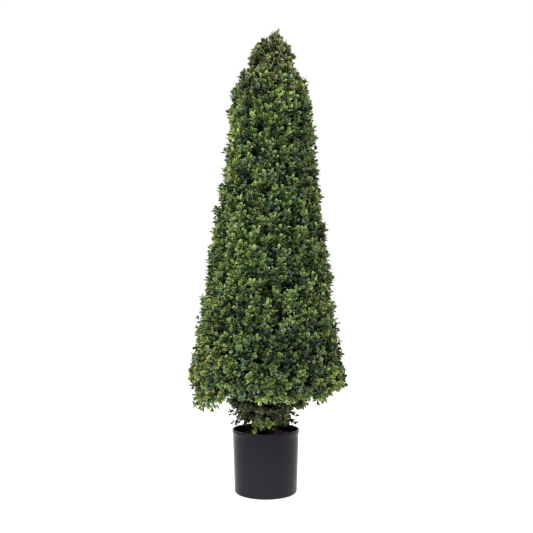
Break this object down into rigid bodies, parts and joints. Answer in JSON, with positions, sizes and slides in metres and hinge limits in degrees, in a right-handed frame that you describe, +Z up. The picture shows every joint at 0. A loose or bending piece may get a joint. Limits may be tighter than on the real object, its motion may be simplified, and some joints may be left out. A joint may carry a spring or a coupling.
{
  "type": "artificial boxwood cone topiary",
  "caption": "Artificial boxwood topiary clipped to a slim cone with a flared skirt, leafy collar and fringe round its stem, standing in a plain round pot.",
  "frame": {"origin": "centre of the pot's flat underside", "axes": "+Z up along the pot, +X to the viewer's right, the way the stem leans by one degree, -Y to the viewer"},
  "size_m": [0.4411, 0.4313, 1.2119],
  "materials": {
    "pot_plastic": "satin",
    "cast_fill": "rough",
    "soil_cover": "rough",
    "stem_bark": "rough",
    "frame_steel": "satin",
    "lower_leaves": "satin",
    "crown_leaves": "satin"
  },
  "bodies": {
    "root": {"pot": "pot_plastic", "pot_fill": "cast_fill", "soil": "soil_cover", "stem": "stem_bark", "cone_frame": "frame_steel", "stem_collar": "lower_leaves", "under_fringe": "lower_leaves", "skirt": "crown_leaves", "crown_band_1": "crown_leaves", "crown_band_2": "crown_leaves", "crown_band_3": "crown_leaves", "crown_band_4": "crown_leaves", "crown_tip": "crown_leaves"}
  },
  "joints": []
}
